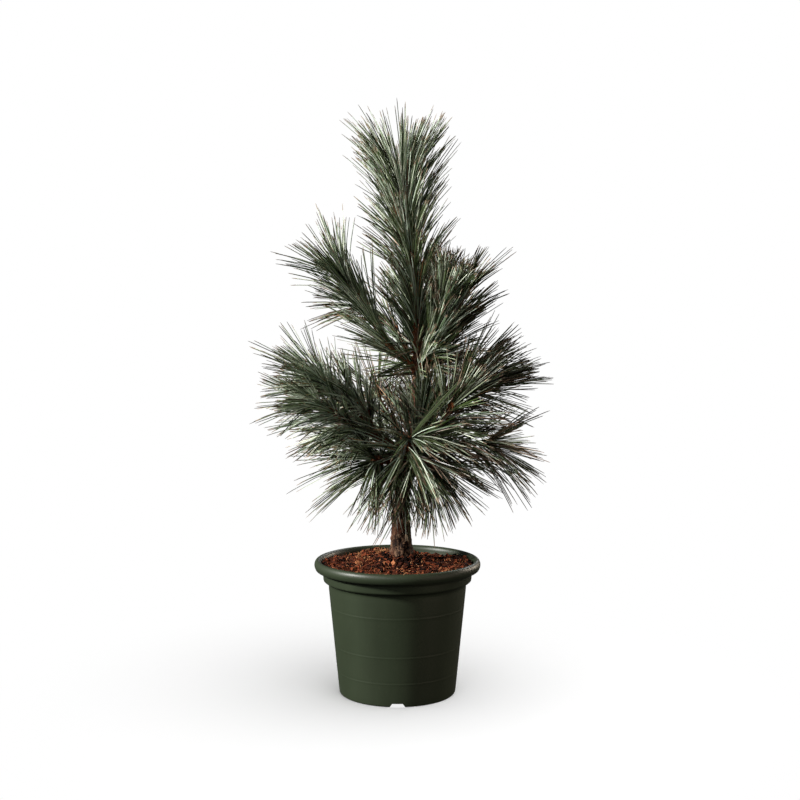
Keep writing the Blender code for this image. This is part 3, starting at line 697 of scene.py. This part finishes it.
tint_all = np.concatenate([row[0] for row in needle_rows])
cols = [np.concatenate([row[i] for row in needle_rows]) for i in range(1, 7)]
print("needles", len(tint_all))
lo_limit = np.array(CAD_BOX[0]) - 0.008
lo_limit[2] = LOWEST
hi_limit = np.array(CAD_BOX[1]) + 0.008
tips = cols[0] + cols[1] * cols[3][:, None] + cols[5] * cols[3][:, None]
inside = np.all((tips > lo_limit) & (tips < hi_limit), axis=1)
for index, (name, outer, inner, tip) in enumerate(TINTS):
    pick = (tint_all == index) & inside
    rows = [c[pick] for c in cols]
    verts, faces, kinds = needle_mesh(*rows)
    g = Gather()
    g.add(verts, faces, kinds)
    piece = g.build("needles_" + name, [
        plain_material("needle_outer_" + name, outer, 0.36, 0.42),
        plain_material("needle_inner_" + name, inner, 0.50, 0.35),
        plain_material("needle_tip_" + name, tip, 0.60, 0.3),
        plain_material("needle_foot_" + name, srgb(122, 74, 42), 0.70, 0.2)])
    print(piece.name, pick.sum(), "needles", (6 * RINGS - 3) * pick.sum(), "triangles")
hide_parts(*masses_done, "needles_leader_top", "needles_leader_low")


# ------------------------------------------------------------------------ pot
def wall_radius(z):
    return POT_WALL_FOOT + (POT_WALL_TOP - POT_WALL_FOOT) * z / 0.121


# the inside of the rim's moulding, from the roll down
rim_inside = [(POT_RIM_INNER - 0.0004, POT_HEIGHT - POT_RIM_DEPTH), (POT_COLLAR_LOW - POT_WALL, POT_COLLAR_Z + 0.0012),
              (POT_WALL_TOP - POT_WALL, POT_COLLAR_Z - 0.0038)]


def arc(cx, cz, r, a0, a1, steps, squash=1.0):
    return [(cx + r * math.cos(a), cz + r * squash * math.sin(a))
            for a in (math.radians(a0 + (a1 - a0) * i / steps) for i in range(steps + 1))]


def pot_outline():
    rim_low = POT_HEIGHT - POT_RIM_DEPTH
    out = [(0.0, 0.0), (POT_BOSS - 0.001, 0.0), (POT_BOSS + 0.0002, 0.0004), (POT_BOSS + 0.0018, POT_RECESS - 0.0004),
           (POT_BOSS + 0.0030, POT_RECESS), (POT_FOOT_IN - 0.001, POT_RECESS), (POT_FOOT_IN, POT_RECESS - 0.0005),
           (POT_FOOT_IN + 0.0008, 0.0004), (POT_FOOT_IN + 0.0016, 0.0), (POT_WALL_FOOT - 0.0024, 0.0)]
    out += arc(POT_WALL_FOOT - 0.0024, 0.0024, 0.0024, -80, 0, 6)
    z = 0.006
    rings = (0.0263, 0.0562, 0.1006)
    while z < 0.118:
        r = wall_radius(z)
        for ring in rings:
            r += 0.00012 * math.exp(-((z - ring) / 0.0008) ** 2) - 0.00006 * math.exp(-((z - ring - 0.0018) / 0.0010) ** 2)
        out.append((r, z))
        near = min(abs(z - ring) for ring in rings)
        z += 0.0005 if near < 0.004 else 0.003
    out += [(POT_WALL_TOP - 0.0001, 0.1200), (POT_WALL_TOP + 0.0001, 0.1240), (POT_WALL_TOP + 0.0004, 0.1262),
            (POT_WALL_TOP + 0.0012, 0.1278), (POT_WALL_TOP + 0.0029, 0.1290), (POT_COLLAR_LOW - 0.0011, 0.1298),
            (POT_COLLAR_LOW - 0.0002, POT_COLLAR_Z), (POT_COLLAR_LOW + 0.0001, 0.1318),
            (POT_COLLAR_TOP - 0.0003, 0.1390), (POT_COLLAR_TOP, 0.1408), (POT_COLLAR_TOP + 0.0008, rim_low),
            (POT_COLLAR_TOP + 0.0026, rim_low + 0.0001), (POT_RIM_RADIUS - 0.0026, rim_low + 0.0003),
            (POT_RIM_RADIUS - 0.0016, rim_low + 0.0010)]
    half = (POT_RIM_RADIUS - POT_RIM_INNER) / 2
    out += arc(POT_RIM_INNER + half, POT_HEIGHT - half * 1.45, half, -38, 180, 22, 1.45)
    out += [rim_inside[0], rim_inside[1], rim_inside[2],
            (POT_WALL_TOP - POT_WALL, 0.121), (wall_radius(POT_FLOOR) - POT_WALL, POT_FLOOR), (0.0, POT_FLOOR)]
    return out


def build_pot():
    profile = pot_outline()
    around = 144
    bm = bmesh.new()
    rings = []
    for r, z in profile:
        if r < 1e-6:
            rings.append([bm.verts.new((0, 0, z))])
            continue
        ring = []
        for k in range(around):
            a = 2 * math.pi * (k + 0.37) / around
            wob = 1 + (0.0016 * math.sin(2 * a + 0.7) + 0.0008 * math.sin(3 * a)) * min(1.0, z / 0.15)
            ring.append(bm.verts.new((r * wob * math.cos(a), r * wob * math.sin(a), z)))
        rings.append(ring)
    for low, high in zip(rings, rings[1:]):
        for k in range(around):
            m = (k + 1) % around
            if len(low) == 1:
                bm.faces.new((low[0], high[m], high[k]))
            elif len(high) == 1:
                bm.faces.new((low[k], low[m], high[0]))
            else:
                bm.faces.new((low[k], low[m], high[m], high[k]))
    bmesh.ops.recalc_face_normals(bm, faces=bm.faces)
    mesh = bpy.data.meshes.new("pot_shell")
    bm.to_mesh(mesh)
    bm.free()
    made = bpy.data.objects.new("pot_shell", mesh)
    bpy.context.scene.collection.objects.link(made)
    cutters = []
    bm = bmesh.new()
    for n in range(NOTCH_COUNT):
        place = Matrix.Rotation(2 * math.pi * n / NOTCH_COUNT - math.pi / 2, 4, "Z") \
            @ Matrix.Translation((POT_WALL_FOOT - 0.0040, 0, 0))
        c = bmesh.ops.create_cube(bm, size=1.0)["verts"]
        for v in c:
            wide = NOTCH_WIDTH[1] if v.co.z > 0 else 2 * NOTCH_WIDTH[0] - NOTCH_WIDTH[1]
            v.co = place @ Vector((v.co.x * 0.016, v.co.y * wide, v.co.z * 2 * NOTCH_HEIGHT))
    for n in range(DRAIN_COUNT):
        a = 2 * math.pi * (n + 0.5) / DRAIN_COUNT
        place = Matrix.Translation((DRAIN_RING * math.cos(a), DRAIN_RING * math.sin(a), POT_RECESS + 0.001))
        bmesh.ops.create_cone(bm, cap_ends=True, segments=28, radius1=DRAIN_RADIUS, radius2=DRAIN_RADIUS,
                              depth=0.008, matrix=place)
    tool_mesh = bpy.data.meshes.new("tool")
    bm.to_mesh(tool_mesh)
    bm.free()
    tool = bpy.data.objects.new("tool", tool_mesh)
    bpy.context.scene.collection.objects.link(tool)
    mod = made.modifiers.new("cut", "BOOLEAN")
    mod.operation, mod.solver, mod.object = "DIFFERENCE", "EXACT", tool
    graph = bpy.context.evaluated_depsgraph_get()
    graph.update()
    final = bpy.data.meshes.new_from_object(made.evaluated_get(graph))
    made.modifiers.clear()
    made.data = final
    bpy.data.objects.remove(tool, do_unlink=True)
    final.materials.clear()
    final.materials.append(pot_material())
    final.shade_smooth()
    final.set_sharp_from_angle(angle=math.radians(38))
    return made


pot = build_pot()
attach(pot, "root")
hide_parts("pot", "pot_rim")


# ----------------------------------------------------------------------- soil
def inside_radius(z):
    """Inside of the rim's moulding at height z, above the collar."""
    (top_r, top_z), (low_r, low_z) = rim_inside[:2]
    return low_r + (top_r - low_r) * min(1.0, max(0.0, (z - low_z) / (top_z - low_z)))


def soil_height(x, y):
    near = math.exp(-((x - 0.005) ** 2 + (y - 0.012) ** 2) / SOIL_MOUND_WIDTH ** 2)
    heap_x, heap_y, heap, heap_width = SOIL_HEAP
    behind = math.exp(-((x - heap_x) ** 2 + (y - heap_y) ** 2) / heap_width ** 2)
    far = math.hypot(x, y)
    out = far / POT_RIM_INNER
    turn = min(1.0, max(0.0, (1.25 * abs(x) - 0.8 * y) / max(far, 1e-6)))
    rise = SOIL_RISE * turn * turn * (3 - 2 * turn) * out ** 3
    lumps = 0.0012 * noise.noise(Vector((x * 60, y * 60, 3.0))) + 0.0010 * noise.noise(Vector((x * 190, y * 190, 1.0))) \
        + 0.0006 * noise.noise(Vector((x * 600, y * 600, 5.0)))
    return SOIL_LEVEL + SOIL_MOUND * near + heap * behind + rise + lumps


def build_soil():
    rings, around = 56, 160
    edges = []
    for k in range(around):
        a = 2 * math.pi * k / around
        z = soil_height(POT_RIM_INNER * math.cos(a), POT_RIM_INNER * math.sin(a))
        edges.append(inside_radius(z) - 0.0003)
    verts = []
    for i in range(rings):
        for k in range(around):
            r = edges[k] * (1 - i / rings)
            a = 2 * math.pi * k / around
            x, y = r * math.cos(a), r * math.sin(a)
            verts.append((x, y, soil_height(x, y)))
    verts.append((0, 0, soil_height(0, 0)))
    a = np.arange(rings - 1)[:, None] * around
    j = np.arange(around)[None]
    m = (j + 1) % around
    quads = np.stack([a + j, a + m, a + around + m, a + around + j], -1).reshape(-1, 4)
    last = (rings - 1) * around
    j = np.arange(around)
    tris = np.stack([last + j, last + (j + 1) % around, np.full(around, rings * around)], -1)
    # the sides and the flat bottom of the root ball, inside the pot
    verts = np.array(verts)
    base = len(verts)
    lower = []
    for r, z in ((POT_COLLAR_LOW - POT_WALL - 0.0004, POT_COLLAR_Z + 0.0024), (POT_WALL_TOP - POT_WALL - 0.0004, POT_COLLAR_Z - 0.0042),
                 (wall_radius(POT_FLOOR) - POT_WALL - 0.0004, POT_FLOOR + 0.0004)):
        for k in range(around):
            t = 2 * math.pi * k / around
            lower.append((r * math.cos(t), r * math.sin(t), z))
    lower.append((0, 0, POT_FLOOR + 0.0004))
    verts = np.concatenate([verts, np.array(lower)])
    top = np.stack([base + j, base + (j + 1) % around, (j + 1) % around, j], -1)
    a = base + np.arange(2)[:, None] * around
    down = np.stack([a + around + j[None], a + around + (j + 1)[None] % around, a + (j + 1)[None] % around, a + j[None]], -1).reshape(-1, 4)
    low = base + 2 * around
    foot = np.stack([low + (j + 1) % around, low + j, np.full(around, base + 3 * around)], -1)
    g = Gather()
    g.add(verts, [np.concatenate([quads, top, down]), np.concatenate([tris, foot])],
          [np.zeros(len(quads) + len(top) + len(down), int), np.zeros(len(tris) + len(foot), int)])
    return g.build("soil_bed", [soil_material()], smooth=True)


soil = build_soil()
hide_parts("soil")


def chips():
    """Bark crumbs and coir on the soil."""
    g = Gather()
    count = 7600
    r = np.sqrt(RNG.random(count)) * (POT_RIM_INNER - 0.0022)
    a = RNG.random(count) * 2 * math.pi
    box = np.array([[-1, -1, -1], [1, -1, -1], [1, 1, -1], [-1, 1, -1], [-1, -1, 1], [1, -1, 1], [1, 1, 1], [-1, 1, 1]], float)
    quads = np.array([[0, 3, 2, 1], [4, 5, 6, 7], [0, 1, 5, 4], [1, 2, 6, 5], [2, 3, 7, 6], [3, 0, 4, 7]])
    for n in range(count):
        x, y = r[n] * math.cos(a[n]), r[n] * math.sin(a[n])
        if math.hypot(x - 0.005, y - 0.012) < 0.0136:
            continue
        big = RNG.random() ** 4
        size = np.array([0.0009 + 0.0034 * big, 0.0007 + 0.0017 * big, 0.0004 + 0.0009 * big])
        shape = box * (1 + RNG.uniform(-0.35, 0.35, (8, 3))) * size / 2 * 1.6
        e = Matrix.Rotation(RNG.random() * 6.283, 3, "Z") @ Matrix.Rotation(RNG.normal(0, 0.5), 3, "X") @ Matrix.Rotation(RNG.normal(0, 0.4), 3, "Y")
        v = shape @ np.array(e).T + np.array([x, y, soil_height(x, y) + size[2] * 0.5 - 0.0006 + 0.0030 * RNG.random() ** 1.7])
        # chips near the stem are more often dark ones: painted shade under the stem and the crown
        shade_near_stem = math.exp(-((math.hypot(x - 0.003, y - 0.006) - 0.012) / 0.017) ** 2)
        dark = min(0.78, 0.28 + 0.50 * shade_near_stem)
        kind = RNG.choice(4, p=(0.42 * (1 - dark), 0.50 * (1 - dark), dark, 0.08 * (1 - dark)))
        g.add(v, [quads], [np.full(6, kind)])
    mats = [plain_material("chip_rust", srgb(108, 53, 31), 0.9, 0.12), plain_material("chip_brown", srgb(60, 28, 17), 0.9, 0.12),
            plain_material("chip_dark", srgb(22, 11, 8), 0.95, 0.1), plain_material("chip_pale", srgb(146, 92, 60), 0.85, 0.15)]
    made = g.build("soil_chips", mats)
    return made


def fibres():
    """Coir fibres and dry needles lying on the soil, thickest on the heap behind the stem."""
    g = Gather()
    count = 4400
    for n in range(count):
        on_heap = n % 5 == 0
        if on_heap:
            x, y = SOIL_HEAP[0] + RNG.normal(0, 0.013), SOIL_HEAP[1] + RNG.normal(0, 0.013)
        else:
            r = math.sqrt(RNG.random()) * 0.082
            a = RNG.random() * 2 * math.pi
            x, y = r * math.cos(a), r * math.sin(a)
        if math.hypot(x - 0.005, y - 0.012) < 0.0150:
            continue
        way = RNG.random() * 6.283
        stalk = n < 34
        long = (0.016 + 0.012 * RNG.random()) if stalk else (0.003 + 0.009 * RNG.random() ** 2)
        turn = RNG.normal(0, 0.8)
        rise = RNG.uniform(0.0, 0.5) if not stalk else RNG.uniform(0, 0.1)
        steps = 5
        pts = []
        for i in range(steps):
            t = i / (steps - 1) - 0.5
            px = x + math.cos(way + turn * t) * long * t
            py = y + math.sin(way + turn * t) * long * t
            if math.hypot(px, py) > 0.0850:
                break
            pts.append((px, py, soil_height(px, py) + 0.0008 + (t + 0.5) ** 2 * rise * long))
        if len(pts) < steps:
            continue
        pts = np.array(pts)
        w = 0.00045 if stalk else RNG.uniform(0.00010, 0.00024)
        tan, side, up = frames(pts)
        rings = np.stack([pts + side * w, pts - side * w * 0.5 + up * w, pts - side * w * 0.5 - up * w], 1).reshape(-1, 3)
        quads = np.array([[3 * i + p, 3 * i + q, 3 * i + 3 + q, 3 * i + 3 + p]
                          for i in range(steps - 1) for p, q in ((0, 1), (1, 2), (2, 0))])
        kind = 1 if stalk else int(RNG.choice(3, p=(0.35, 0.45, 0.20) if on_heap else (0.55, 0.17, 0.28)))
        g.add(rings, [quads], [np.full(len(quads), kind)])
    mats = [plain_material("fibre_rust", srgb(122, 64, 39), 0.85, 0.15), plain_material("fibre_straw", srgb(190, 138, 94), 0.8, 0.2),
            plain_material("fibre_dark", srgb(50, 22, 12), 0.9, 0.1)]
    made = g.build("soil_fibres", mats)
    return made


chips()
fibres()


# ---------------------------------------------------------------------- stage
def build_stage():
    bm = bmesh.new()
    bmesh.ops.create_grid(bm, x_segments=1, y_segments=1, size=14.0)
    mesh = bpy.data.meshes.new("floor")
    bm.to_mesh(mesh)
    bm.free()
    floor = bpy.data.objects.new("floor", mesh)
    floor.location.z = -0.0001
    bpy.context.scene.collection.objects.link(floor)
    mat, tree, shader = new_material("floor_white")
    shader.inputs["Base Color"].default_value = (0.80, 0.80, 0.80, 1)
    shader.inputs["Roughness"].default_value = 0.9
    shader.inputs["Specular IOR Level"].default_value = 0.0
    coord = tree.nodes.new("ShaderNodeTexCoord")
    length = tree.nodes.new("ShaderNodeVectorMath")
    length.operation = "LENGTH"
    tree.links.new(coord.outputs["Object"], length.inputs[0])
    fade = tree.nodes.new("ShaderNodeMapRange")
    fade.interpolation_type = "SMOOTHSTEP"
    fade.inputs["From Min"].default_value = 0.075
    fade.inputs["From Max"].default_value = 0.46
    tree.links.new(length.outputs["Value"], fade.inputs["Value"])
    glow = tree.nodes.new("ShaderNodeEmission")
    glow.inputs["Color"].default_value = (1, 1, 1, 1)
    glow.inputs["Strength"].default_value = 1.0
    mix = tree.nodes.new("ShaderNodeMixShader")
    # the floor glows under the pot's foot, where it lies in shade: painted light, so the notches show a bright floor
    # through them
    under = tree.nodes.new("ShaderNodeMapRange")
    under.inputs["From Min"].default_value = 0.0645
    under.inputs["From Max"].default_value = 0.0660
    under.inputs["To Min"].default_value = 0.85
    under.inputs["To Max"].default_value = 0.0
    tree.links.new(length.outputs["Value"], under.inputs["Value"])
    most = tree.nodes.new("ShaderNodeMath")
    most.operation = "MAXIMUM"
    tree.links.new(fade.outputs["Result"], most.inputs[0])
    tree.links.new(under.outputs["Result"], most.inputs[1])
    tree.links.new(most.outputs["Value"], mix.inputs["Fac"])
    tree.links.new(shader.outputs["BSDF"], mix.inputs[1])
    tree.links.new(glow.outputs["Emission"], mix.inputs[2])
    tree.links.new(mix.outputs["Shader"], tree.nodes["Material Output"].inputs["Surface"])
    mesh.materials.append(mat)

    # a white studio wall all round, seen but not adding light of its own
    bm = bmesh.new()
    bmesh.ops.create_uvsphere(bm, u_segments=48, v_segments=24, radius=9.0)
    bmesh.ops.reverse_faces(bm, faces=bm.faces)
    dome_mesh = bpy.data.meshes.new("studio_wall")
    bm.to_mesh(dome_mesh)
    bm.free()
    dome = bpy.data.objects.new("studio_wall", dome_mesh)
    bpy.context.scene.collection.objects.link(dome)
    wall, wall_tree, _ = new_material("studio_white")
    wall_glow = wall_tree.nodes.new("ShaderNodeEmission")
    wall_tree.links.new(wall_glow.outputs["Emission"], wall_tree.nodes["Material Output"].inputs["Surface"])
    dome_mesh.materials.append(wall)
    for thing, rays in ((dome, ("diffuse", "glossy", "transmission", "volume_scatter", "shadow")),
                        (floor, ("diffuse", "glossy"))):
        for ray in rays:
            setattr(thing, "visible_" + ray, False)

    world = bpy.data.worlds.new("studio")
    world.use_nodes = True
    # soft light from all round, weaker from below
    sky = world.node_tree
    direction = sky.nodes.new("ShaderNodeTexCoord")
    parts = sky.nodes.new("ShaderNodeSeparateXYZ")
    sky.links.new(direction.outputs["Generated"], parts.inputs["Vector"])
    level = sky.nodes.new("ShaderNodeMapRange")
    level.interpolation_type = "SMOOTHSTEP"
    level.inputs["From Min"].default_value = -0.5
    level.inputs["From Max"].default_value = 0.6
    level.inputs["To Min"].default_value = 0.03
    level.inputs["To Max"].default_value = 0.12
    sky.links.new(parts.outputs["Z"], level.inputs["Value"])
    back = sky.nodes["Background"]
    back.inputs["Color"].default_value = (1.0, 0.99, 0.97, 1)
    sky.links.new(level.outputs["Result"], back.inputs["Strength"])
    bpy.context.scene.world = world

    # the lamps on the object leave the floor alone, and the floor has a soft light of
    # its own that only the pot and the stem stand in
    no_floor = bpy.data.collections.new("lit_by_lamps")
    no_floor.objects.link(floor)
    no_floor.collection_objects[0].light_linking.link_state = "EXCLUDE"
    just_floor = bpy.data.collections.new("lit_by_floor_light")
    just_floor.objects.link(floor)
    in_the_way = bpy.data.collections.new("shades_the_floor")
    for thing in (pot, stem):
        in_the_way.objects.link(thing)

    def area(name, place, target, size, power, colour=(1, 1, 1)):
        data = bpy.data.lights.new(name, "AREA")
        data.shape = "DISK"
        data.size = size
        data.energy = power
        data.color = colour
        lamp = bpy.data.objects.new(name, data)
        lamp.location = place
        way = Vector(target) - Vector(place)
        lamp.rotation_euler = way.to_track_quat("-Z", "Y").to_euler()
        lamp.visible_camera = False
        bpy.context.scene.collection.objects.link(lamp)
        lamp.light_linking.receiver_collection = no_floor
        return lamp

    area("key", (-2.15, -0.85, 1.35), (0, 0, 0.32), 0.42, 150, (1.0, 0.985, 0.95))
    area("front", (-0.9, -2.2, 1.2), (0, 0, 0.32), 0.9, 10)
    area("back", (0.9, 1.9, 1.5), (0, 0, 0.36), 0.9, 14)
    area("edge", (1.5, 1.1, 0.6), (0, 0, 0.25), 0.5, 14, (1.0, 0.86, 0.70))
    just_pot = bpy.data.collections.new("lit_by_pot_light")
    just_pot.objects.link(pot)
    low = area("pot_light", (1.5, -0.9, 0.35), (0, 0, 0.08), 1.6, 7, (1.0, 0.80, 0.64))
    low.light_linking.receiver_collection = just_pot
    for name, place, size, power in (("floor_light", (0.184, -0.114, 0.889), 3.18, 37.7),
                                     ("floor_light_front", (0.253, -1.18, 0.289), 2.24, 14.3)):
        ground = area(name, place, (0, 0, 0), size, power)
        ground.light_linking.receiver_collection = just_floor
        ground.light_linking.blocker_collection = in_the_way


build_stage()

camera_data = bpy.data.cameras.new("camera")
camera_data.lens = 59.5
camera_data.sensor_width = 36.0
camera = bpy.data.objects.new("camera", camera_data)
camera.location = (0.0, -1.5, 0.441)
camera.rotation_euler = (math.radians(90 - 3.99), 0.0, -math.atan(2.6 / 1322.5))
bpy.context.scene.collection.objects.link(camera)
bpy.context.scene.camera = camera
bpy.context.scene.view_settings.view_transform = "Standard"
